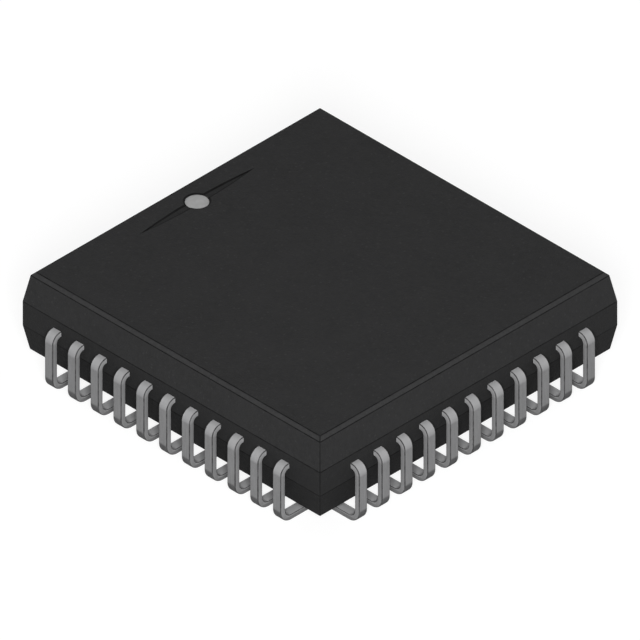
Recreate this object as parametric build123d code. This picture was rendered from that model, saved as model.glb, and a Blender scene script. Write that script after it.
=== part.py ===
from build123d import *
from math import radians, sqrt, tan
import os

os.makedirs("parts", exist_ok=True)

# Plastic leaded chip carrier with J-shaped leads on all four sides.
# The origin is at the middle of the underside, on the plane that the feet stand on.
# +Z is up through the top face. The row with pin 1 is on the -X side.

# Lead rows
leads_per_side = 11
lead_pitch = 1.27
lead_width = 0.45
lead_thickness = 0.25
lead_overhang = 0.475
shoulder_outer_radius = 0.44
foot_outer_radius = 0.605
foot_flat_length = 1.20

# Moulded body
corner_margin = 1.94
standoff = 0.86
body_thickness = 3.71
belt_bottom = 1.16
belt_height = 1.14
draft_angle = 10.0
top_chamfer = 0.16
lead_above_belt_bottom = 0.49

# Mark at pin 1
mark_inset = 1.44
dot_diameter = 1.02
dimple_depth = 0.05
dot_film_thickness = 0.035
groove_length = 6.15
groove_width = 0.30
groove_depth = 0.05

# Ejector marks on the underside
ejector_diameter = 1.60
ejector_depth = 0.05
ejector_inset = 3.30

# Inner fingers of the leads
lock_width = 0.75
lock_length = 0.60
fan_clearance = 0.80
finger_width = 0.40
fingertip_width = 0.34
fingertip_gap = 0.70
fingertip_corner_gap = 0.62

# Die pad and its tie bars
pad_side = 7.20
pad_downset = 0.30
tie_bar_width = 0.30
tie_bar_ramp = 0.50
tie_bar_pad_run = 0.30
tie_bar_end_cover = 0.50

# Die and its glue
die_side = 5.60
die_thickness = 0.38
glue_thickness = 0.03
glue_border = 0.12

# Bond wires
wire_diameter = 0.03
ball_diameter = 0.08
ball_height = 0.025
bond_row_inset = 0.20
bond_corner_inset = 0.70
wire_rise = 0.14
wire_crest_length = 0.60
wire_neck = 0.06
stitch_reach = 0.25

# Sizes worked out from the ones above
half_row = lead_pitch * (leads_per_side - 1) / 2
half_side = half_row + corner_margin
body_top = standoff + body_thickness
belt_low = standoff + belt_bottom
belt_high = belt_low + belt_height
chamfer_low = body_top - top_chamfer
bottom_half = half_side - belt_bottom * tan(radians(draft_angle))
shoulder_half = half_side - (chamfer_low - belt_high) * tan(radians(draft_angle))
top_half = shoulder_half - top_chamfer
frame_low = belt_low + lead_above_belt_bottom
frame_high = frame_low + lead_thickness
lead_face = half_side + lead_overhang
fan_start = half_row + fan_clearance
fingertip = pad_side / 2 + fingertip_gap
outer_fingertip = fingertip - fingertip_corner_gap - fingertip_width / 2
pad_high = frame_high - pad_downset
pad_low = pad_high - lead_thickness
die_low = pad_high + glue_thickness
die_high = die_low + die_thickness
bond_row = die_side / 2 - bond_row_inset
outer_bond = die_side / 2 - bond_corner_inset
upright = Plane(origin=(0, 0, 0), x_dir=(1, 0, 0), z_dir=(0, -1, 0))
side_turns = {"minus_x": 180, "minus_y": 270, "plus_x": 0, "plus_y": 90}


def slab(half, low, high):
    return Pos(0, 0, (low + high) / 2) * Box(2 * half, 2 * half, high - low)


def side_view_block():
    # Seen from one side: x is across the body, y is up. It runs the full depth.
    outline = [
        (bottom_half, standoff),
        (half_side, belt_low),
        (half_side, belt_high),
        (shoulder_half, chamfer_low),
        (top_half, body_top),
    ]
    mirrored = [(-x, z) for x, z in reversed(outline)]
    face = make_face(Polyline(outline + mirrored, close=True))
    return extrude(upright * face, half_side, both=True)


def body_form():
    block = side_view_block()
    return block & (Rot(0, 0, 90) * block)


def groove():
    reach = groove_length / 2
    swell = groove_width / 2
    far_arc = ThreePointArc((0, reach), (-swell, 0), (0, -reach))
    near_arc = ThreePointArc((0, -reach), (swell, 0), (0, reach))
    cutter = extrude(make_face([far_arc, near_arc]), groove_depth)
    return Pos(mark_inset - half_side, 0, body_top - groove_depth) * cutter


def mark_disc(low, high):
    disc = Cylinder(dot_diameter / 2, high - low)
    return Pos(mark_inset - half_side, 0, (low + high) / 2) * disc


def ejector_marks():
    reach = half_side - ejector_inset
    disc = Cylinder(ejector_diameter / 2, ejector_depth)
    middle = standoff + ejector_depth / 2
    return [Pos(x, y, middle) * disc for x in (-reach, reach) for y in (-reach, reach)]


def j_profile():
    # Seen along the row: x is outward from the body, y is up.
    shoulder = (lead_face - shoulder_outer_radius, frame_high - shoulder_outer_radius)
    shoulder_inner_radius = shoulder_outer_radius - lead_thickness
    heel = (lead_face - foot_outer_radius, foot_outer_radius)
    foot_inner_radius = foot_outer_radius - lead_thickness
    toe = heel[0] - foot_flat_length
    back = lead_face - lead_thickness
    edges = [
        Line((half_side, frame_high), (shoulder[0], frame_high)),
        CenterArc(shoulder, shoulder_outer_radius, 90, -90),
        Line((lead_face, shoulder[1]), (lead_face, heel[1])),
        CenterArc(heel, foot_outer_radius, 0, -90),
        Line((heel[0], 0), (toe, 0)),
        Line((toe, 0), (toe, lead_thickness)),
        Line((toe, lead_thickness), (heel[0], lead_thickness)),
        CenterArc(heel, foot_inner_radius, -90, 90),
        Line((back, heel[1]), (back, shoulder[1])),
        CenterArc(shoulder, shoulder_inner_radius, 0, 90),
        Line((shoulder[0], frame_low), (half_side, frame_low)),
        Line((half_side, frame_low), (half_side, frame_high)),
    ]
    return make_face(edges)


def lead_j():
    return extrude(upright * j_profile(), lead_width / 2, both=True)


def finger(row_y):
    tip_y = fingertip_y(row_y)
    lock_end = fan_start + lock_length
    points = [
        (half_side, row_y - lead_width / 2),
        (half_side, row_y + lead_width / 2),
        (lock_end, row_y + lead_width / 2),
        (lock_end, row_y + lock_width / 2),
        (fan_start, row_y + lock_width / 2),
        (fan_start, row_y + finger_width / 2),
        (fingertip, tip_y + fingertip_width / 2),
        (fingertip, tip_y - fingertip_width / 2),
        (fan_start, row_y - finger_width / 2),
        (fan_start, row_y - lock_width / 2),
        (lock_end, row_y - lock_width / 2),
        (lock_end, row_y - lead_width / 2),
    ]
    outline = make_face(Polyline(points, close=True))
    return extrude(Plane.XY.offset(frame_low) * outline, lead_thickness)


def fingertip_y(row_y):
    return outer_fingertip * row_y / half_row


def row_places():
    return [lead_pitch * place - half_row for place in range(leads_per_side)]


def numbered_leads():
    # Pin 1 is the middle lead of the -X row. Seen from above, the count runs anticlockwise.
    outer_j = lead_j()
    row = [Pos(0, y, 0) * outer_j + finger(y) for y in row_places()]
    ring = [Rot(0, 0, turn) * lead for turn in side_turns.values() for lead in row]
    first = leads_per_side // 2
    return ring[first:] + ring[:first]


def tie_bar(turn):
    # Seen from the side along the diagonal: x is outward from the middle, y is up.
    pad_corner = pad_side / sqrt(2)
    root = pad_corner - tie_bar_width
    ramp_start = pad_corner + tie_bar_pad_run
    ramp_end = ramp_start + tie_bar_ramp
    end = half_side * sqrt(2) - tie_bar_end_cover
    points = [
        (root, pad_low),
        (ramp_start, pad_low),
        (ramp_end, frame_low),
        (end, frame_low),
        (end, frame_high),
        (ramp_end, frame_high),
        (ramp_start, pad_high),
        (root, pad_high),
    ]
    outline = make_face(Polyline(points, close=True))
    return Rot(0, 0, turn) * extrude(upright * outline, tie_bar_width / 2, both=True)


def die_pad():
    pad = slab(pad_side / 2, pad_low, pad_high)
    for quarter in range(4):
        pad += tie_bar(45 + 90 * quarter)
    return pad


def stitch_place(row_y):
    share = stitch_reach / (fan_start - fingertip)
    tip_y = fingertip_y(row_y)
    return Vector(fingertip + stitch_reach, tip_y + (row_y - tip_y) * share)


def wire_path(span):
    # Seen from the side: x runs from the die to the lead, y is up.
    crest = die_high + ball_height + wire_rise
    fall = crest - frame_high
    overrun = 1 + wire_diameter / fall
    end_x = wire_crest_length + (span - wire_crest_length) * overrun
    points = [
        (0, die_high + ball_height / 2),
        (0, crest - wire_neck),
        (wire_neck, crest),
        (wire_crest_length, crest),
        (end_x, crest - fall * overrun),
    ]
    return Polyline(points)


def bond_wire(row_y):
    start = Vector(bond_row, outer_bond * row_y / half_row)
    across = stitch_place(row_y) - start
    flat_plane = Plane(origin=start, x_dir=across, z_dir=across.cross(Vector(0, 0, 1)))
    path = flat_plane * wire_path(across.length)
    section = Plane(origin=path @ 0, z_dir=path % 0) * Circle(wire_diameter / 2)
    wire = sweep(section, path, transition=Transition.RIGHT)
    landed = split(wire, Plane.XY.offset(frame_high), keep=Keep.TOP)
    ball = Cylinder(ball_diameter / 2, ball_height)
    return landed + Pos(start.X, start.Y, die_high + ball_height / 2) * ball


leads = numbered_leads()
pad = die_pad()
glue = slab(die_side / 2 + glue_border, pad_high, die_low)
die = slab(die_side / 2, die_low, die_high)
one_side_wires = Compound([bond_wire(y) for y in row_places()])
wires = {side: Rot(0, 0, turn) * one_side_wires for side, turn in side_turns.items()}
dimple = mark_disc(body_top - dimple_depth, body_top)
dot = mark_disc(body_top - dimple_depth, body_top - dimple_depth + dot_film_thickness)
inside = [*leads, pad, glue, die, *wires.values()]
moulded_body = body_form() - [groove(), dimple, *ejector_marks()] - inside

export_step(moulded_body, "parts/moulded_body.step")
export_step(dot, "parts/pin_1_dot.step")
export_step(pad, "parts/die_pad.step")
export_step(glue, "parts/die_attach.step")
export_step(die, "parts/die.step")
for number, lead in enumerate(leads, start=1):
    export_step(lead, f"parts/lead_{number:02d}.step")
for side, group in wires.items():
    export_step(group, f"parts/bond_wires_{side}.step")
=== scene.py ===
from math import atan2, cos, pi, radians, sin, sqrt, tan

import bmesh
import bpy
from bpy.props import FloatProperty, FloatVectorProperty, IntProperty, PointerProperty
from bpy.types import Operator, Panel, PropertyGroup
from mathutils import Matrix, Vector


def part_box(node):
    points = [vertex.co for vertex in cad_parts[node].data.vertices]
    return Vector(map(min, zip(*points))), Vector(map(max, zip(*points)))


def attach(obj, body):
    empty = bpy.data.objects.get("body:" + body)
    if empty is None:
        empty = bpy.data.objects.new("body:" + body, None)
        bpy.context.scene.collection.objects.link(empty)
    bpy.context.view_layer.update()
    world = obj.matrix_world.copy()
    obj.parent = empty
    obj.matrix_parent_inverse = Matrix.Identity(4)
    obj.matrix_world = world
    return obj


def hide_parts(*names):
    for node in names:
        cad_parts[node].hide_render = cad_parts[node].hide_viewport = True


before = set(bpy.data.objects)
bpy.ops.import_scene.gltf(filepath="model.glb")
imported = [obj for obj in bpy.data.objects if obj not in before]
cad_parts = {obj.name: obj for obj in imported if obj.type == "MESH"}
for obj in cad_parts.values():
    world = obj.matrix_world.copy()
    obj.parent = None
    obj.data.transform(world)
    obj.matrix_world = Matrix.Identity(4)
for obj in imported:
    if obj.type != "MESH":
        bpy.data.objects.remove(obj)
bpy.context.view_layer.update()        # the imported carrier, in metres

bl_info = {
    "name": "J-Lead Chip Carrier",
    "version": (1, 0, 0),
    "blender": (4, 5, 0),
    "location": "View3D > Sidebar > Chip Carrier",
    "description": "Moulded chip carrier with four rows of J-shaped leads",
    "category": "Object",
}

# Boxes read from the frame
BODY_LOW, BODY_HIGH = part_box("moulded_body")
FIRST_LEAD_LOW, FIRST_LEAD_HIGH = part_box("lead_01")
DOT_LOW, DOT_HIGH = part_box("pin_1_dot")
LEAD_COUNT = sum(name.startswith("lead_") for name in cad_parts)

# Meshes are made in millimetres, where fine roundings keep their precision, and then scaled.
MM = 0.001
SIDE_TURNS = (180, 270, 0, 90)      # the rows in the order in which the leads are counted
QUARTER_TURN = tuple(radians(turn) for turn in (0, 30, 60, 90))     # steps round a small edge
SHARP_ANGLE = radians(40)           # edges that fold more than this are shaded as sharp


def length(name, description, default_mm):
    """A length property in metres, with its default given in millimetres."""
    return FloatProperty(
        name=name, description=description, default=default_mm * MM, min=0.0,
        precision=6, unit="LENGTH", subtype="DISTANCE",
    )


def angle(name, description, default_degrees):
    """An angle property."""
    return FloatProperty(
        name=name, description=description, default=radians(default_degrees), subtype="ANGLE",
    )


def colour(name, description, default):
    """A colour property."""
    return FloatVectorProperty(
        name=name, description=description, default=default, min=0.0, max=1.0,
        size=3, subtype="COLOR",
    )


class BodySizes(PropertyGroup):
    """Sizes of the moulded body and of the marks in it."""
    half_side: length("Half side", "From the middle to the belt", BODY_HIGH.x / MM)
    underside: length("Underside", "Height of the underside", BODY_LOW.z / MM)
    top: length("Top", "Height of the top face", BODY_HIGH.z / MM)
    belt_bottom: length("Belt bottom", "From the underside up to the belt", 1.16)
    belt_height: length("Belt height", "Height of the upright belt", 1.14)
    draft: angle("Draft", "Lean of the sides above and below the belt", 10)
    chamfer: length("Top bevel", "Width of the bevel round the top face", 0.16)
    edge_round: length("Edge rounding", "Rounding of the moulded edges", 0.025)
    mark_inset: length("Mark inset", "From the belt to the middle of the mark", 1.44)
    dimple_diameter: length("Dimple diameter", "Round dimple of the mark", 1.02)
    groove_length: length("Groove length", "Pointed groove through the mark", 6.15)
    groove_width: length("Groove width", "Width of the groove at its middle", 0.30)
    groove_depth: length("Groove depth", "Depth of the groove and dimple", 0.05)
    rim_round: length("Rim rounding", "Rounding at the rim of a recess", 0.022)
    ejector_diameter: length("Ejector mark", "Diameter of the marks on the underside", 1.60)
    ejector_depth: length("Ejector depth", "Depth of the marks on the underside", 0.05)
    ejector_inset: length("Ejector inset", "From the belt to the middle of a mark", 3.30)


class LeadSizes(PropertyGroup):
    """Sizes of the bent leads and of their fingers inside the body."""
    per_side: IntProperty(
        name="Leads a side", description="Leads in one row", default=LEAD_COUNT // 4, min=1,
    )
    pitch: length("Pitch", "From one lead to the next", 1.27)
    width: length("Width", "Width of the bent strip", 0.45)
    thickness: length("Thickness", "Thickness of the lead frame", 0.25)
    face: length("Lead face", "From the middle to the face of a shank", -FIRST_LEAD_LOW.x / MM)
    top: length("Lead top", "Height of the lead frame's upper face", FIRST_LEAD_HIGH.z / MM)
    shoulder_radius: length("Shoulder radius", "Outer radius of the upper bend", 0.44)
    foot_radius: length("Foot radius", "Outer radius of the lower bend", 0.605)
    foot_flat: length("Foot flat", "Length of the flat foot", 1.20)
    outer_edge: length("Outer edge", "Rounding on the outside of the bends", 0.035)
    inner_edge: length("Inner edge", "Rounding on the inside of the bends", 0.022)
    root_depth: length("Root depth", "From the belt to the strip's end inside the body", 0.09)
    lock_width: length("Lock width", "Width of the anchor inside the body", 0.75)
    lock_length: length("Lock length", "Length of the anchor inside the body", 0.60)
    fan_clearance: length("Fan clearance", "From the last lead to the start of the fan", 0.80)
    finger_width: length("Finger width", "Width where the fan starts", 0.40)
    tip_width: length("Tip width", "Width at the inner tip", 0.34)
    tip: length("Inner tip", "From the middle to the inner tips", -FIRST_LEAD_HIGH.x / MM)
    tip_corner_gap: length("Corner gap", "From the last inner tip to the diagonal", 0.62)


class Colours(PropertyGroup):
    """Colours of the finishes."""
    epoxy: colour("Moulding compound", "Black epoxy of the body", (0.0280, 0.0280, 0.0285))
    tin: colour("Tin", "Matt plating of the leads", (0.21, 0.21, 0.213))
    copper: colour("Copper", "Lead frame and cut ends", (0.62, 0.34, 0.21))
    ink: colour("Marking ink", "Dot at the first lead", (0.40, 0.40, 0.40))
    silicon: colour("Silicon", "Face of the die", (0.10, 0.11, 0.13))
    glue: colour("Glue", "Silver-filled glue under the die", (0.55, 0.55, 0.54))
    gold: colour("Gold", "Bond wires", (0.83, 0.58, 0.22))
    floor: colour("Floor", "Studio floor, apart from its lift", (0.22, 0.22, 0.22))


class StageSetup(PropertyGroup):
    """Camera, lamps, light of the room and floor."""
    azimuth: angle("Azimuth", "Turn of the camera round the part", 45)
    elevation: angle("Elevation", "Angle of the camera above the floor, isometric", 35.264)
    span: length("View span", "Width that the camera sees", 25.211)
    aim: length("Aim height", "Height that the picture's middle looks at", 2.251)
    distance: length("Distance", "From the part to the camera", 200)
    floor_size: length("Floor size", "Side of the square floor", 900)
    lamp_distance: length("Lamp distance", "From the part to each lamp", 260)
    lamp_size: length("Lamp size", "Side of the square main lamp", 70)
    lamp_elevation: angle("Lamp elevation", "Angle of the main lamp above the floor", 31)
    lamp_power: FloatProperty(
        name="Lamp power", description="Power of the main lamp, in watts", default=0.745, min=0.0,
    )
    side_turn: angle("Side turn", "Turn of each side lamp away from the main lamp", 130)
    side_size: length("Side lamp size", "Side of each square side lamp", 70)
    side_elevation: angle("Side elevation", "Angle of the side lamps above the floor", 8)
    side_power: FloatProperty(
        name="Side power", description="Power of each side lamp, in watts", default=0.40, min=0.0,
    )
    fill: FloatProperty(
        name="Fill", description="Strength of the light from all around", default=0.10, min=0.0,
    )
    floor_lift: FloatProperty(
        name="Floor lift", description="White that the floor shows besides its own light",
        default=0.84, min=0.0,
    )
    ceiling: FloatProperty(
        name="Ceiling", description="Brightness of the ceiling in reflections, where the walls are 1",
        default=0.25, min=0.0, max=1.0,
    )


# Helpers for meshes

def in_mm(sizes, names):
    """Several lengths of a property group, in millimetres."""
    return [getattr(sizes, name) / MM for name in names.split()]


def bridge(bm, first, second):
    """Quads between two closed loops with the same number of corners."""
    faces = []
    for i in range(len(first)):
        j = (i + 1) % len(first)
        faces.append(bm.faces.new((first[i], first[j], second[j], second[i])))
    return faces


def loop_at(bm, points, height):
    """A level loop of corners through the given points."""
    return [bm.verts.new((x, y, height)) for x, y in points]


def edges_of(bm, loop):
    """The edges between neighbouring corners of a closed loop."""
    return [bm.edges.get((loop[i - 1], loop[i])) for i in range(len(loop))]


def place_piece(bm, name, node, materials, turn=0):
    """Turns a mesh made in millimetres into the piece that stands for a CAD node."""
    bmesh.ops.recalc_face_normals(bm, faces=bm.faces[:])
    bmesh.ops.scale(bm, vec=(MM, MM, MM), verts=bm.verts[:])
    mesh = bpy.data.meshes.new(name)
    bm.to_mesh(mesh)
    bm.free()
    for material in materials:
        mesh.materials.append(material)
    mesh.shade_smooth()
    mesh.set_sharp_from_angle(angle=SHARP_ANGLE)
    piece = bpy.data.objects.new(name, mesh)
    piece.rotation_euler.z = radians(turn)
    bpy.context.scene.collection.objects.link(piece)
    piece.modifiers.new("flat_faces_stay_flat", "WEIGHTED_NORMAL").keep_sharp = True
    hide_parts(node)
    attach(piece, "root")
    return piece


# Helpers for materials

def toned(base, share):
    """A colour made lighter or darker."""
    return (*(min(1.0, channel * share) for channel in base), 1.0)


class Finish:
    """A material under construction, with its pattern sizes given in cycles for each millimetre."""

    def __init__(self, name, metallic=0.0, specular=0.5):
        self.material = bpy.data.materials.new(name)
        self.material.use_nodes = True
        self.tree = self.material.node_tree
        self.shader = self.tree.nodes["Principled BSDF"]
        self.shader.inputs["Metallic"].default_value = metallic
        self.shader.inputs["Specular IOR Level"].default_value = specular
        self.place = self.add("ShaderNodeTexCoord").outputs["Object"]

    def add(self, kind, **settings):
        """A new node with some of its settings."""
        node = self.tree.nodes.new(kind)
        for key, value in settings.items():
            setattr(node, key, value)
        return node

    def feed(self, socket, value):
        """Links another node's output to a socket, or writes a plain value in it."""
        if isinstance(value, bpy.types.NodeSocket):
            self.tree.links.new(value, socket)
        else:
            socket.default_value = value

    def spread(self, per_mm):
        """Object coordinates scaled to cycles for each millimetre along X, Y and Z."""
        if isinstance(per_mm, (int, float)):
            per_mm = (per_mm, per_mm, per_mm)
        scaled = self.add("ShaderNodeVectorMath", operation="MULTIPLY")
        self.feed(scaled.inputs[0], self.place)
        self.feed(scaled.inputs[1], [cycles / MM for cycles in per_mm])
        return scaled.outputs[0]

    def noise(self, per_mm, detail=3.0, roughness=0.5):
        """Cloudy noise, mostly from 0.3 to 0.7."""
        node = self.add("ShaderNodeTexNoise", noise_dimensions="3D")
        self.feed(node.inputs["Vector"], self.spread(per_mm))
        node.inputs["Scale"].default_value = 1.0
        node.inputs["Detail"].default_value = detail
        node.inputs["Roughness"].default_value = roughness
        return node.outputs["Fac"]

    def cells(self, per_mm, output="Distance"):
        """Scattered grains: the distance from the nearest one, or its own random colour."""
        node = self.add("ShaderNodeTexVoronoi")
        self.feed(node.inputs["Vector"], self.spread(per_mm))
        node.inputs["Scale"].default_value = 1.0
        return node.outputs[output]

    def axes(self):
        """X, Y and Z of the object's own coordinates, in millimetres."""
        node = self.add("ShaderNodeSeparateXYZ")
        self.feed(node.inputs[0], self.spread(1.0))
        return node.outputs[:3]

    def ranged(self, value, low, high, from_low=0.3, from_high=0.7):
        """A value spread from its own range, by default that of noise, to the range low to high."""
        node = self.add("ShaderNodeMapRange")
        self.feed(node.inputs["Value"], value)
        ends = {"From Min": from_low, "From Max": from_high, "To Min": low, "To Max": high}
        for name, number in ends.items():
            node.inputs[name].default_value = number
        return node.outputs["Result"]

    def beyond(self, value, level, blend, share=1.0):
        """Rises from 0 to a share where a value passes a level, over a blend on both sides of it."""
        return self.ranged(value, 0.0, share, level - blend, level + blend)

    def short_of(self, value, level, blend, share=1.0):
        """Falls from a share to 0 where a value passes a level."""
        return self.ranged(value, share, 0.0, level - blend, level + blend)

    def worked_out(self, operation, *values):
        """The result of one operation of the maths node on one or two values."""
        node = self.add("ShaderNodeMath", operation=operation)
        for socket, value in zip(node.inputs, values):
            self.feed(socket, value)
        return node.outputs[0]

    def times(self, first, second):
        """The product of two values."""
        return self.worked_out("MULTIPLY", first, second)

    def plus(self, first, second):
        """The sum of two values."""
        return self.worked_out("ADD", first, second)

    def mix(self, share, first, second):
        """The first colour, with a share of the second one over it."""
        # Inputs 6 and 7 and output 2 are the node's sockets for colours.
        node = self.add("ShaderNodeMix", data_type="RGBA")
        self.feed(node.inputs[0], share)
        self.feed(node.inputs[6], first)
        self.feed(node.inputs[7], second)
        return node.outputs[2]

    def relief(self, height, depth_mm, under=None):
        """Fine relief of a given depth, on top of a coarser one where there is one."""
        node = self.add("ShaderNodeBump")
        node.inputs["Distance"].default_value = depth_mm * MM
        node.inputs["Strength"].default_value = 1.0
        self.feed(node.inputs["Height"], height)
        if under is not None:
            self.feed(node.inputs["Normal"], under)
        return node.outputs["Normal"]

    def done(self, base, roughness, normal):
        """The finished material."""
        self.feed(self.shader.inputs["Base Color"], base)
        self.feed(self.shader.inputs["Roughness"], roughness)
        self.feed(self.shader.inputs["Normal"], normal)
        return self.material


def mould_marks(look, base, grain, scene):
    """The epoxy's colour with painted light: painted shade from the belt down, and a painted highlight at the
    bevel.
    """
    sizes = scene.carrier_body
    epoxy = scene.carrier_colours.epoxy
    names = "half_side underside top belt_bottom belt_height chamfer"
    half, low, top, belt_bottom, belt_height, chamfer = in_mm(sizes, names)
    belt_low = low + belt_bottom
    belt_high = belt_low + belt_height
    shoulder = half - (top - chamfer - belt_high) * tan(sizes.draft)
    x, y, up = look.axes()
    away = look.worked_out("MAXIMUM", look.worked_out("ABSOLUTE", x), look.worked_out("ABSOLUTE", y))

    # Painted shade: the sides are painted darker from the belt down, and a little darker on the belt itself.
    belt_blend = 0.03
    painted_shade_share = look.ranged(up, 0.66, 0.32, belt_low - belt_blend, belt_low + belt_blend)
    painted_side_shade = look.times(look.short_of(up, belt_high, belt_blend), painted_shade_share)
    base = look.mix(painted_side_shade, base, toned(epoxy, 0.50))

    # Painted highlight: the bevel round the top face is painted lighter, in a share that varies with the
    # grain.
    bevel_blend = 0.04
    round_top_face = look.beyond(away, shoulder - chamfer + bevel_blend / 2, bevel_blend)
    near_top = look.beyond(up, top - chamfer - bevel_blend / 2, bevel_blend)
    bevel = look.times(round_top_face, near_top)
    mottled_painted_light = look.times(bevel, look.ranged(grain, 0.25, 0.50))
    return look.mix(mottled_painted_light, base, toned(epoxy, 1.75))


def moulding_compound(scene):
    """Dull black epoxy: flow mottling, grains of filler, an eroded texture, painted shade on the lower sides
    and a painted highlight at the bevel.
    """
    epoxy = scene.carrier_colours.epoxy
    look = Finish("moulding_compound", specular=0.03)
    flow = look.noise(0.45, detail=4.0)
    grain = look.noise(4.5, detail=5.0, roughness=0.70)
    filler = look.ranged(look.cells(3.6), 1.0, 0.0, 0.06, 0.22)
    base = look.mix(look.ranged(flow, 0.0, 1.0), toned(epoxy, 0.90), toned(epoxy, 1.06))
    base = look.mix(look.ranged(grain, 0.0, 0.8), base, toned(epoxy, 1.28))
    base = look.mix(look.times(filler, 0.30), base, toned(epoxy, 2.2))
    base = mould_marks(look, base, grain, scene)
    rough = look.plus(look.ranged(flow, 0.57, 0.60), look.ranged(grain, -0.05, 0.05))
    wavy = look.relief(flow, 0.004)
    eroded = look.relief(look.noise(13.0, detail=3.0), 0.014, look.relief(grain, 0.026, wavy))
    return look.done(base, rough, eroded)


def recess_painted_shade(scene):
    """The same epoxy, painted darker as painted shade on the walls of a recess and on a thin band round its
    rim.
    """
    epoxy = scene.carrier_colours.epoxy
    look = Finish("recess_painted_shade", specular=0.03)
    turned = look.noise(3.0, detail=3.0)
    base = look.mix(look.ranged(turned, 0.0, 1.0), toned(epoxy, 0.24), toned(epoxy, 0.42))
    return look.done(base, look.ranged(turned, 0.62, 0.70), look.relief(turned, 0.002))


def edge_compound(scene):
    """The epoxy along the edges, where the mould's blocks meet and leave dark witness lines."""
    epoxy = scene.carrier_colours.epoxy
    look = Finish("edge_compound", specular=0.03)
    patchy = look.noise(3.2, detail=5.0, roughness=0.65)
    base = look.mix(look.ranged(patchy, 0.0, 1.0), toned(epoxy, 0.20), toned(epoxy, 0.62))
    return look.done(base, look.ranged(patchy, 0.56, 0.66), look.relief(patchy, 0.003))


def forming_marks(look, base, scene):
    """The tin's colour with painted light: painted highlights on the shoulder, the cut sides and the upper
    face of the foot, painted shade on the shank's face towards the lower bend, and darker low down.
    """
    tin = scene.carrier_colours.tin
    painted_highlight_tin = toned(tin, 2.0)
    names = "top shoulder_radius pitch width thickness face foot_radius"
    top, shoulder, pitch, width, thickness, face, foot = in_mm(scene.carrier_leads, names)
    x, y, up = look.axes()
    across = look.worked_out("PINGPONG", y, pitch / 2)      # from the middle line of a point's own lead

    # Painted highlight: the shoulder's plating is painted lighter where the bend turns up towards the light.
    shoulder_start = top - shoulder + 0.01
    shoulder_highlight = look.plus(look.beyond(up, shoulder_start, 0.05, share=0.40),
                          look.ranged(up, 0.0, 0.30, shoulder_start + 0.05, top - 0.05))
    base = look.mix(shoulder_highlight, base, painted_highlight_tin)

    # Painted highlights: the cut sides, which face the neighbouring leads, and the upper face of the foot,
    # which lies in the shade of the body, are painted lighter.
    cut_side_highlight = look.beyond(across, width / 2 - 0.025, 0.015, share=0.18)
    base = look.mix(look.times(cut_side_highlight, look.beyond(up, foot * 0.6, foot * 0.2)), base, painted_highlight_tin)
    foot_top_highlight = look.times(look.beyond(up, thickness - 0.03, 0.02, share=0.85),
                          look.ranged(x, 1.0, 0.0, face - foot, face - thickness - 0.04))
    base = look.mix(foot_top_highlight, base, painted_highlight_tin)

    # Painted shade: the face of a shank is painted darker towards the lower bend, which faces down. The lead
    # is also darker low down, below about three quarters of its thickness.
    shank_face = look.beyond(x, face - 0.02, 0.01)
    painted_shank_shade = look.times(shank_face, look.short_of(up, foot + 0.04, 0.04, share=0.70))
    base = look.mix(painted_shank_shade, base, toned(tin, 0.50))
    darker_low_down = look.short_of(up, thickness * 0.75, thickness * 0.15, share=0.60)
    return look.mix(darker_low_down, base, toned(tin, 0.55))


def matt_tin(scene):
    """Matt tin plating: fine crystals over the lines that drawing leaves, with painted highlights and painted
    shade.
    """
    tin = scene.carrier_colours.tin
    look = Finish("matt_tin", metallic=0.12, specular=0.15)
    crystals = look.noise(18.0, detail=4.0, roughness=0.65)
    drawn = look.noise((1.2, 15.0, 1.2), detail=3.0)
    bloom = look.noise(1.3, detail=3.0)
    base = look.mix(look.ranged(bloom, 0.0, 1.0), toned(tin, 0.92), toned(tin, 1.08))
    base = look.mix(look.ranged(crystals, 0.0, 0.6), base, toned(tin, 1.35))
    base = look.mix(look.ranged(drawn, 0.4, 0.0), base, toned(tin, 0.70))
    base = forming_marks(look, base, scene)
    rough = look.plus(look.ranged(bloom, 0.42, 0.50), look.ranged(crystals, -0.05, 0.06))
    along = look.relief(drawn, 0.0035)
    return look.done(base, rough, look.relief(crystals, 0.0020, along))


def tarnished_edge(scene):
    """Edges of the strip, where the plating is thin, worn and darkened."""
    tin = scene.carrier_colours.tin
    look = Finish("tarnished_edge", metallic=0.12, specular=0.10)
    worn = look.noise(5.0, detail=4.0)
    base = look.mix(look.ranged(worn, 0.0, 1.0), toned(tin, 0.16), toned(tin, 0.50))
    return look.done(base, look.ranged(worn, 0.50, 0.60), look.relief(worn, 0.003))


def lower_bend_painted_shade(scene):
    """Tin on the outside of the lower bend, painted dark as painted shade where the bend faces down, with a
    dull, low shine.
    """
    tin = scene.carrier_colours.tin
    look = Finish("lower_bend_painted_shade", specular=0.02)
    crystals = look.noise(18.0, detail=4.0, roughness=0.65)
    drawn = look.noise((1.2, 15.0, 1.2), detail=3.0)
    mottled_painted_light = look.noise(3.0, detail=4.0)
    base = look.mix(look.ranged(mottled_painted_light, 0.0, 1.0), toned(tin, 0.50), toned(tin, 0.68))
    base = look.mix(look.ranged(drawn, 0.4, 0.0), base, toned(tin, 0.35))
    rough = look.plus(look.ranged(mottled_painted_light, 0.52, 0.62), look.ranged(crystals, -0.05, 0.06))
    return look.done(base, rough, look.relief(crystals, 0.0015, look.relief(drawn, 0.0035)))


def frame_copper(scene):
    """Bare copper alloy of the lead frame, as it shows inside the body and at the cut ends."""
    copper = scene.carrier_colours.copper
    look = Finish("frame_copper", metallic=1.0)
    sheared = look.noise((2.0, 26.0, 2.0), detail=3.0)
    tarnish = look.noise(2.6, detail=4.0)
    base = look.mix(look.ranged(tarnish, 0.0, 1.0), toned(copper, 0.72), toned(copper, 1.04))
    rough = look.plus(look.ranged(tarnish, 0.46, 0.34), look.ranged(sheared, -0.06, 0.07))
    return look.done(base, rough, look.relief(sheared, 0.004))


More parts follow.
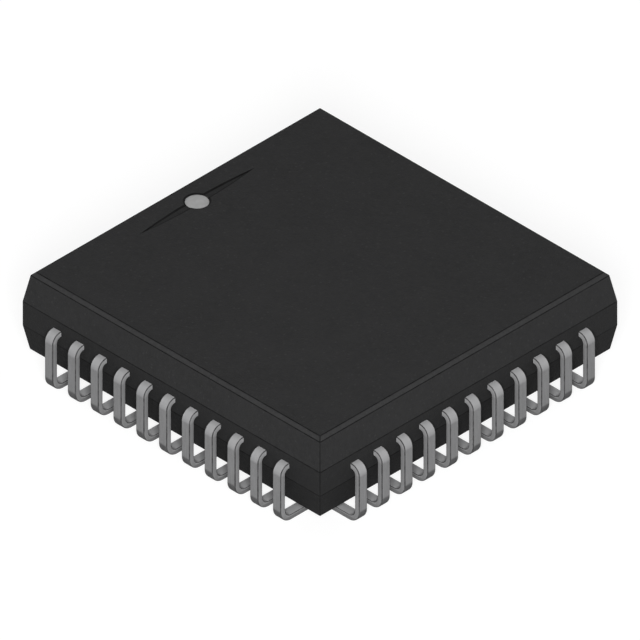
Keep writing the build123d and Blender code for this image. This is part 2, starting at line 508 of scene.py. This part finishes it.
def marking_ink(scene):
    """Pad-printed ink: a dull film with slight unevenness and a few pinholes."""
    ink = scene.carrier_colours.ink
    look = Finish("marking_ink", specular=0.08)
    cover = look.noise(3.4, detail=4.0)
    tooth = look.noise(17.0, detail=3.0)
    pinholes = look.ranged(look.cells(6.0), 1.0, 0.0, 0.05, 0.12)
    base = look.mix(look.ranged(cover, 0.0, 1.0), toned(ink, 0.90), toned(ink, 1.07))
    base = look.mix(look.times(pinholes, 0.45), base, toned(ink, 0.45))
    rough = look.plus(look.ranged(cover, 0.50, 0.58), look.ranged(tooth, -0.03, 0.04))
    uneven = look.relief(cover, 0.008)
    return look.done(base, rough, look.relief(tooth, 0.0025, uneven))


def polished_silicon(scene):
    """Face of the die: a smooth dark mirror with faint blocks of circuitry."""
    silicon = scene.carrier_colours.silicon
    look = Finish("polished_silicon", metallic=0.6)
    blocks = look.cells((2.1, 3.3, 2.1), output="Color")
    tracks = look.noise((1.4, 32.0, 1.4), detail=2.0)
    base = look.mix(look.ranged(tracks, 0.0, 0.5), toned(silicon, 0.85), toned(silicon, 1.7))
    rough = look.ranged(blocks, 0.16, 0.34, 0.0, 1.0)
    return look.done(base, rough, look.relief(tracks, 0.0008))


def silver_glue(scene):
    """Silver-filled glue: bright flakes in a dull paste."""
    glue = scene.carrier_colours.glue
    look = Finish("silver_glue", metallic=0.8)
    flakes = look.cells(16.0, output="Color")
    paste = look.noise(4.0, detail=4.0)
    base = look.mix(look.ranged(flakes, 0.0, 1.0, 0.0, 1.0), toned(glue, 0.72), toned(glue, 1.15))
    rough = look.ranged(paste, 0.38, 0.58)
    return look.done(base, rough, look.relief(paste, 0.010))


def drawn_gold(scene):
    """Drawn gold wire with a faintly uneven shine."""
    gold = scene.carrier_colours.gold
    look = Finish("drawn_gold", metallic=1.0)
    shine = look.noise(9.0, detail=2.0)
    base = look.mix(look.ranged(shine, 0.0, 1.0), toned(gold, 0.88), toned(gold, 1.08))
    return look.done(base, look.ranged(shine, 0.18, 0.30), look.relief(shine, 0.001))


def shared_finish(make, scene):
    """One material for all the pieces that have it."""
    return bpy.data.materials.get(make.__name__) or make(scene)


# Stage

def seen_directly(tree):
    """1 where a ray comes from the camera or by way of a shiny or clear surface, else 0."""
    path = tree.nodes.new("ShaderNodeLightPath")
    total = path.outputs["Is Camera Ray"]
    for kind in ("Is Glossy Ray", "Is Transmission Ray"):
        step = tree.nodes.new("ShaderNodeMath")
        step.operation = "MAXIMUM"
        tree.links.new(total, step.inputs[0])
        tree.links.new(path.outputs[kind], step.inputs[1])
        total = step.outputs[0]
    return total


def direction(azimuth, elevation):
    """From the part towards a point that is turned round it and raised above the floor."""
    return Vector((sin(azimuth) * cos(elevation), -cos(azimuth) * cos(elevation), sin(elevation)))


def aimed(data, name, place, target):
    """A lamp or camera at a place, looking at a target."""
    thing = bpy.data.objects.new(name, data)
    thing.location = place
    thing.rotation_euler = (target - place).to_track_quat("-Z", "Y").to_euler()
    bpy.context.scene.collection.objects.link(thing)
    return thing


def lay_floor(setup, colours):
    """A pale floor, which keeps the part's shadow, shows white elsewhere and is clear from below."""
    half = setup.floor_size / 2
    mesh = bpy.data.meshes.new("studio_floor")
    corners = [(x * half, y * half, 0.0) for x, y in ((-1, -1), (1, -1), (1, 1), (-1, 1))]
    mesh.from_pydata(corners, [], [(0, 1, 2, 3)])
    look = Finish("studio_paper", specular=0.1)
    fibres = look.noise(0.6, detail=4.0)
    shade = look.mix(look.ranged(fibres, 0.0, 1.0), toned(colours.floor, 0.995), toned(colours.floor, 1.005))
    lift = look.times(seen_directly(look.tree), setup.floor_lift)
    look.shader.inputs["Emission Color"].default_value = (1.0, 1.0, 1.0, 1.0)
    look.feed(look.shader.inputs["Emission Strength"], lift)
    clear_below = look.add("ShaderNodeMixShader")
    look.feed(clear_below.inputs[0], look.add("ShaderNodeNewGeometry").outputs["Backfacing"])
    look.feed(clear_below.inputs[1], look.shader.outputs[0])
    look.feed(clear_below.inputs[2], look.add("ShaderNodeBsdfTransparent").outputs[0])
    look.feed(look.tree.nodes["Material Output"].inputs["Surface"], clear_below.outputs[0])
    mesh.materials.append(look.done(shade, look.ranged(fibres, 0.85, 0.95), look.relief(fibres, 0.01)))
    floor = bpy.data.objects.new("studio_floor", mesh)
    bpy.context.scene.collection.objects.link(floor)


def light_room(setup):
    """A dim even light from all around, with white to look at and a darker ceiling in reflections."""
    world = bpy.data.worlds.new("studio")
    world.use_nodes = True
    tree = world.node_tree
    tree.nodes.clear()
    fill = tree.nodes.new("ShaderNodeBackground")
    fill.inputs["Strength"].default_value = setup.fill
    fill.inputs["Color"].default_value = (1.0, 1.0, 1.0, 1.0)
    white = tree.nodes.new("ShaderNodeBackground")
    white.inputs["Color"].default_value = (1.0, 1.0, 1.0, 1.0)
    height = tree.nodes.new("ShaderNodeSeparateXYZ")
    tree.links.new(tree.nodes.new("ShaderNodeTexCoord").outputs["Generated"], height.inputs[0])
    wall_top = 0.20             # rise of a ray, from 0 to 1, above which the white walls turn darker
    ceiling_start = 0.60        # rise above which the ray meets the ceiling alone
    walls = tree.nodes.new("ShaderNodeMapRange")
    walls.interpolation_type = "SMOOTHSTEP"
    ends = {"From Min": wall_top, "From Max": ceiling_start, "To Min": 1.0, "To Max": setup.ceiling}
    for name, number in ends.items():
        walls.inputs[name].default_value = number
    tree.links.new(height.outputs["Z"], walls.inputs["Value"])
    backdrop = tree.nodes.new("ShaderNodeMath")
    backdrop.operation = "MAXIMUM"
    tree.links.new(tree.nodes.new("ShaderNodeLightPath").outputs["Is Camera Ray"], backdrop.inputs[0])
    tree.links.new(walls.outputs["Result"], backdrop.inputs[1])
    tree.links.new(backdrop.outputs[0], white.inputs["Strength"])
    choose = tree.nodes.new("ShaderNodeMixShader")
    tree.links.new(seen_directly(tree), choose.inputs[0])
    tree.links.new(fill.outputs[0], choose.inputs[1])
    tree.links.new(white.outputs[0], choose.inputs[2])
    tree.links.new(choose.outputs[0], tree.nodes.new("ShaderNodeOutputWorld").inputs[0])
    bpy.context.scene.world = world


class CARRIER_OT_stage(Operator):
    """Set up the floor, the soft lamps, the room light and the camera"""
    bl_idname = "carrier.stage"
    bl_label = "Set Up Stage"

    def execute(self, context):
        scene = context.scene
        setup = scene.carrier_stage
        target = Vector((0.0, 0.0, setup.aim))
        lay_floor(setup, scene.carrier_colours)
        light_room(setup)

        side = (setup.side_elevation, setup.side_size, setup.side_power)
        lamps = (
            ("main_lamp", 0.0, setup.lamp_elevation, setup.lamp_size, setup.lamp_power),
            ("left_lamp", -setup.side_turn, *side),
            ("right_lamp", setup.side_turn, *side),
        )
        for name, turn, elevation, size, power in lamps:
            lamp = bpy.data.lights.new(name, "AREA")
            lamp.size = size
            lamp.energy = power
            towards_lamp = direction(setup.azimuth + turn, elevation)
            aimed(lamp, name, target + towards_lamp * setup.lamp_distance, target)

        lens = bpy.data.cameras.new("camera")
        lens.type = "ORTHO"
        lens.ortho_scale = setup.span
        lens.clip_start = 0.001
        lens.clip_end = 10.0
        towards_camera = direction(setup.azimuth, setup.elevation)
        scene.camera = aimed(lens, "camera", target + towards_camera * setup.distance, target)
        scene.view_settings.view_transform = "Standard"
        return {"FINISHED"}


# Moulded body

def mark_outline(sizes, growth, parts=16):
    """Outline of the round dimple with the pointed groove that runs through it, grown evenly."""
    names = "groove_length groove_width dimple_diameter"
    reach, swell, radius = (value / 2 for value in in_mm(sizes, names))
    reach += 3 * growth         # the thin points have to grow further to keep an even width
    swell += growth
    radius += growth
    bow = (reach ** 2 + swell ** 2) / (2 * swell)
    centre = swell - bow
    meet_x = (reach ** 2 - radius ** 2) / (2 * (bow - swell))
    meet_y = sqrt(radius ** 2 - meet_x ** 2)
    tip_angle = atan2(reach, -centre)
    meet_angle = atan2(meet_y, meet_x - centre)
    round_angle = atan2(meet_y, meet_x)
    quarter = []
    for step in range(parts):
        along = tip_angle + (meet_angle - tip_angle) * step / parts
        quarter.append((centre + bow * cos(along), bow * sin(along)))
    for step in range(parts + 1):
        along = round_angle * (1 - step / parts)
        quarter.append((radius * cos(along), radius * sin(along)))
    half = quarter + [(x, -y) for x, y in reversed(quarter[1:-1])]
    points = half + [(0.0, -reach)] + [(-x, y) for x, y in reversed(half[1:])]
    middle = (sizes.mark_inset - sizes.half_side) / MM
    return [(middle + x, y) for x, y in points]


def round_outline(middle, radius, corners=48):
    """Outline of a round mark."""
    turns = [2 * pi * i / corners for i in range(corners)]
    return [(middle[0] + radius * cos(turn), middle[1] + radius * sin(turn)) for turn in turns]


def sink(bm, outline, level, depth, rim):
    """A recess with a rounded rim and foot, whose outline is a function of how far it is grown.

    A negative depth goes up into the underside. Returns the edges to fill the level face up to.
    """
    down = -1 if depth > 0 else 1
    skirt, painted_shade_start = 6 * rim, 2.2 * rim
    steps = [(skirt, 0.0), (painted_shade_start, 0.0)]
    steps += [(rim - rim * sin(turn), rim - rim * cos(turn)) for turn in QUARTER_TURN]
    steps += [(rim * cos(turn) - rim, abs(depth) - rim + rim * sin(turn)) for turn in QUARTER_TURN]
    loops = [loop_at(bm, outline(growth), level + down * fall) for growth, fall in steps]
    rings = [bridge(bm, outer, inner) for outer, inner in zip(loops, loops[1:])]
    bm.faces.new(loops[-1])
    # The band round the rim, the rim's rounding, the wall and the rounding at its foot take the painted shade
    # finish; the floor keeps the plain epoxy.
    for face in [face for ring in rings[1:] for face in ring]:
        face.material_index = 1
    return edges_of(bm, loops[0])


def open_face(bm, upward):
    """Takes out the large level face at the top or the underside and returns its edges."""
    bm.normal_update()
    level = [face for face in bm.faces if face.normal.z * upward > 0.999]
    face = max(level, key=lambda each: each.calc_area())
    rim = face.edges[:]
    bmesh.ops.delete(bm, geom=[face], context="FACES_ONLY")
    return rim


def body_form(bm, sizes):
    """The plain drafted form with its belt, its top bevel and rounded edges."""
    names = "half_side underside top belt_bottom belt_height chamfer edge_round"
    half, low, top, belt_bottom, belt_height, chamfer, edge_round = in_mm(sizes, names)
    lean = tan(sizes.draft)
    belt_low = low + belt_bottom
    belt_high = belt_low + belt_height
    shoulder = half - (top - chamfer - belt_high) * lean
    levels = [
        (half - belt_bottom * lean, low),
        (half, belt_low),
        (half, belt_high),
        (shoulder, top - chamfer),
        (shoulder - chamfer, top),
    ]
    square = ((1, 1), (-1, 1), (-1, -1), (1, -1))
    rings = [loop_at(bm, [(x * side, y * side) for x, y in square], height) for side, height in levels]
    for lower, upper in zip(rings, rings[1:]):
        bridge(bm, lower, upper)
    bm.faces.new(rings[0])
    bm.faces.new(rings[-1])
    bmesh.ops.recalc_face_normals(bm, faces=bm.faces[:])
    rounded = bmesh.ops.bevel(
        bm, geom=bm.edges[:], offset=edge_round, offset_type="OFFSET", segments=3,
        profile=0.5, affect="EDGES", clamp_overlap=True,
    )
    for face in rounded["faces"]:
        face.material_index = 2


class CARRIER_OT_moulded_body(Operator):
    """Build the moulded body with the mark on top and the ejector marks beneath"""
    bl_idname = "carrier.moulded_body"
    bl_label = "Build Moulded Body"

    def execute(self, context):
        sizes = context.scene.carrier_body
        low, top, depth, rim = in_mm(sizes, "underside top groove_depth rim_round")
        diameter, ejector_depth = in_mm(sizes, "ejector_diameter ejector_depth")
        reach = (sizes.half_side - sizes.ejector_inset) / MM
        bm = bmesh.new()
        body_form(bm, sizes)

        top_edges = open_face(bm, 1)
        top_edges += sink(bm, lambda growth: mark_outline(sizes, growth), top, depth, rim)
        bmesh.ops.triangle_fill(bm, use_beauty=True, edges=top_edges, normal=(0, 0, 1))

        low_edges = open_face(bm, -1)
        for x, y in ((1, 1), (-1, 1), (-1, -1), (1, -1)):
            middle = (x * reach, y * reach)
            low_edges += sink(
                bm, lambda growth: round_outline(middle, diameter / 2 + growth), low, -ejector_depth, rim,
            )
        bmesh.ops.triangle_fill(bm, use_beauty=True, edges=low_edges, normal=(0, 0, -1))

        finishes = (moulding_compound, recess_painted_shade, edge_compound)
        materials = [shared_finish(make, context.scene) for make in finishes]
        place_piece(bm, "epoxy_body", "moulded_body", materials)
        return {"FINISHED"}


# Leads

def strip_section(sizes):
    """Section of the strip as (across, depth below the outer face), with rounded corners."""
    width, thickness, outer, inner = in_mm(sizes, "width thickness outer_edge inner_edge")
    corners = (
        (-90, width / 2 - outer, outer, outer),
        (0, width / 2 - inner, thickness - inner, inner),
        (90, inner - width / 2, thickness - inner, inner),
        (180, outer - width / 2, outer, outer),
    )
    points = []
    for start, across, depth, radius in corners:
        for turn in QUARTER_TURN:
            along = radians(start) + turn
            points.append((across + radius * cos(along), depth + radius * sin(along)))
    return points


def bend_line(sizes, root, shoulder_parts=12, foot_parts=16):
    """Line of the strip's outer face as (outward, up, direction in which the face looks)."""
    face, top, shoulder, foot, flat = in_mm(sizes, "face top shoulder_radius foot_radius foot_flat")
    line = [(root, top, 90.0)]
    for step in range(shoulder_parts + 1):
        look = 90 - 90 * step / shoulder_parts
        away = shoulder * cos(radians(look)) - shoulder
        line.append((face + away, top + shoulder * sin(radians(look)) - shoulder, look))
    for step in range(foot_parts + 1):
        look = -90 * step / foot_parts
        line.append((face - foot + foot * cos(radians(look)), foot + foot * sin(radians(look)), look))
    line.append((face - foot - flat, 0.0, -90.0))
    return line


def bend_strip(bm, sizes, root, row_y):
    """The J outside the body, with a cut end at the toe. Returns its open ring at the root."""
    section = strip_section(sizes)
    corner_points = len(QUARTER_TURN)
    line = bend_line(sizes, root)
    rings = []
    for outward, up, look in line:
        towards = (cos(radians(look)), sin(radians(look)))
        ring = []
        for across, depth in section:
            place = (outward - depth * towards[0], row_y + across, up - depth * towards[1])
            ring.append(bm.verts.new(place))
        rings.append(ring)

    # Of the four faces that start at each corner's points, three round the corner and the last is flat.
    # The last face of all is the strip's outer one, which takes a painted shade finish at the lower bend.
    for first, second, (*_, look) in zip(rings, rings[1:], line[1:]):
        faces = bridge(bm, first, second)
        for i, face in enumerate(faces, start=1):
            flat = i % corner_points == 0
            face.material_index = 0 if flat else 2
        if -90 < look < 0:
            faces[-1].material_index = 3

    # The cut end is a little narrower and thinner than the strip, and stands a little beyond it.
    width, thickness, edge = in_mm(sizes, "width thickness inner_edge")
    beyond = 0.6 * edge
    toe = []
    for corner, (across, depth) in zip(rings[-1], section):
        y = row_y + across * (1 - 2 * edge / width)
        z = thickness / 2 + (depth - thickness / 2) * (1 - 2 * edge / thickness)
        toe.append(bm.verts.new((corner.co.x - beyond, y, z)))
    bridge(bm, rings[-1], toe)
    bm.faces.new(toe).material_index = 1
    return rings[0]


def finger_plate(bm, sizes, root, row_y, strip_end):
    """The flat finger inside the body, which joins the strip's end and fans in towards the die."""
    top, thickness, width, lock, lock_length = in_mm(sizes, "top thickness width lock_width lock_length")
    names = "fan_clearance finger_width tip_width tip tip_corner_gap"
    clearance, finger, tip_width, tip, gap = in_mm(sizes, names)
    half_row = sizes.pitch / MM * (sizes.per_side - 1) / 2
    fan_start = half_row + clearance
    lock_end = fan_start + lock_length
    tip_y = (tip - gap - tip_width / 2) * row_y / half_row
    half_outline = [
        (root, row_y, width / 2),
        (lock_end, row_y, width / 2),
        (lock_end, row_y, lock / 2),
        (fan_start, row_y, lock / 2),
        (fan_start, row_y, finger / 2),
        (tip, tip_y, tip_width / 2),
    ]
    outline = [(x, y + across) for x, y, across in half_outline]
    outline += [(x, y - across) for x, y, across in reversed(half_outline)]
    upper = loop_at(bm, outline, top)
    lower = loop_at(bm, outline, top - thickness)

    # The strip's end has four points at each rounded corner. The outer ones lie on the plate's edges,
    # and small fans close the corners.
    corners = [strip_end[start:start + 4] for start in (0, 4, 8, 12)]
    outer_plus, inner_plus, inner_minus, outer_minus = corners
    outlines = [
        [*upper, outer_minus[3], outer_plus[0]],
        [*lower, inner_minus[0], inner_plus[3]],
        [upper[0], upper[1], lower[1], lower[0], inner_plus[0], outer_plus[3]],
        [lower[-1], lower[-2], upper[-2], upper[-1], outer_minus[0], inner_minus[3]],
    ]
    for i in range(1, len(outline) - 2):
        outlines.append([upper[i], upper[i + 1], lower[i + 1], lower[i]])
    for square, points in zip((upper[0], lower[0], lower[-1], upper[-1]), corners):
        outlines += [[first, second, square] for first, second in zip(points, points[1:])]
    for loop in outlines:
        bm.faces.new(loop).material_index = 1


class CARRIER_OT_leads(Operator):
    """Build the leads of all four rows, each in the place of its CAD node"""
    bl_idname = "carrier.leads"
    bl_label = "Build Leads"

    def execute(self, context):
        sizes = context.scene.carrier_leads
        count = 4 * sizes.per_side
        if count != LEAD_COUNT:
            raise RuntimeError(f"The frame has {LEAD_COUNT} leads, not {count}")
        finishes = (matt_tin, frame_copper, tarnished_edge, lower_bend_painted_shade)
        materials = [shared_finish(make, context.scene) for make in finishes]
        root = (context.scene.carrier_body.half_side - sizes.root_depth) / MM
        half_row = sizes.pitch / MM * (sizes.per_side - 1) / 2
        for place in range(count):
            number = (place - sizes.per_side // 2) % count + 1      # 1 is in the middle of the first row
            row_y = sizes.pitch / MM * (place % sizes.per_side) - half_row
            bm = bmesh.new()
            strip_end = bend_strip(bm, sizes, root, row_y)
            finger_plate(bm, sizes, root, row_y, strip_end)
            turn = SIDE_TURNS[place // sizes.per_side]
            place_piece(bm, f"j_lead_{number:02d}", f"lead_{number:02d}", materials, turn)
        return {"FINISHED"}


# Mark at pin 1

class CARRIER_OT_pin_1_mark(Operator):
    """Build the ink dot in the dimple beside the first lead"""
    bl_idname = "carrier.pin_1_mark"
    bl_label = "Build Pin 1 Mark"

    def execute(self, context):
        low, high = (corner / MM for corner in (DOT_LOW, DOT_HIGH))
        middle = (low + high) / 2
        radius = (high.x - low.x) / 2
        film = high.z - low.z

        # Edge of the dried ink from its foot to its top, as shares of the CAD disc's radius and thickness
        edge = (
            (0.94, 0.0), (0.945, 0.15), (0.94, 0.29), (0.93, 0.38),
            (0.91, 0.44), (0.83, 0.48), (0.55, 0.50),
        )
        bm = bmesh.new()
        loops = [
            loop_at(bm, round_outline(middle, radius * share, corners=96), low.z + film * rise)
            for share, rise in edge
        ]
        for outer, inner in zip(loops, loops[1:]):
            bridge(bm, outer, inner)
        bm.faces.new(loops[0])
        bm.faces.new(loops[-1])
        finish = shared_finish(marking_ink, context.scene)
        place_piece(bm, "ink_dot", "pin_1_dot", [finish])
        return {"FINISHED"}


# Pieces inside the body

class CARRIER_OT_inside_pieces(Operator):
    """Give the pad, glue, die and bond wires inside the body their finishes"""
    bl_idname = "carrier.inside_pieces"
    bl_label = "Finish Inside Pieces"

    def execute(self, context):
        finishes = {"die_pad": frame_copper, "die_attach": silver_glue, "die": polished_silicon}
        finishes.update({name: drawn_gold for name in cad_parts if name.startswith("bond_wires")})
        for name, make in finishes.items():
            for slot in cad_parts[name].material_slots:
                slot.material = shared_finish(make, context.scene)
        return {"FINISHED"}


class CARRIER_PT_panel(Panel):
    """Sizes, colours and steps of the chip carrier"""
    bl_idname = "CARRIER_PT_panel"
    bl_label = "Chip Carrier"
    bl_space_type = "VIEW_3D"
    bl_region_type = "UI"
    bl_category = "Chip Carrier"

    def draw(self, context):
        scene = context.scene
        groups = (
            ("Body", scene.carrier_body, BodySizes),
            ("Leads", scene.carrier_leads, LeadSizes),
            ("Colours", scene.carrier_colours, Colours),
            ("Stage", scene.carrier_stage, StageSetup),
        )
        for title, settings, kind in groups:
            box = self.layout.box()
            box.label(text=title)
            for name in kind.__annotations__:
                box.prop(settings, name)
        for step in STEPS:
            self.layout.operator(step.bl_idname)


STEPS = (
    CARRIER_OT_stage,
    CARRIER_OT_moulded_body,
    CARRIER_OT_leads,
    CARRIER_OT_pin_1_mark,
    CARRIER_OT_inside_pieces,
)
CLASSES = (BodySizes, LeadSizes, Colours, StageSetup, *STEPS, CARRIER_PT_panel)


def register():
    for each in CLASSES:
        bpy.utils.register_class(each)
    bpy.types.Scene.carrier_body = PointerProperty(type=BodySizes)
    bpy.types.Scene.carrier_leads = PointerProperty(type=LeadSizes)
    bpy.types.Scene.carrier_colours = PointerProperty(type=Colours)
    bpy.types.Scene.carrier_stage = PointerProperty(type=StageSetup)


def unregister():
    for name in ("carrier_stage", "carrier_colours", "carrier_leads", "carrier_body"):
        delattr(bpy.types.Scene, name)
    for each in reversed(CLASSES):
        bpy.utils.unregister_class(each)


def main():
    register()
    bpy.ops.carrier.stage()
    bpy.ops.carrier.moulded_body()
    bpy.ops.carrier.leads()
    bpy.ops.carrier.pin_1_mark()
    bpy.ops.carrier.inside_pieces()


if __name__ == "__main__":
    main()
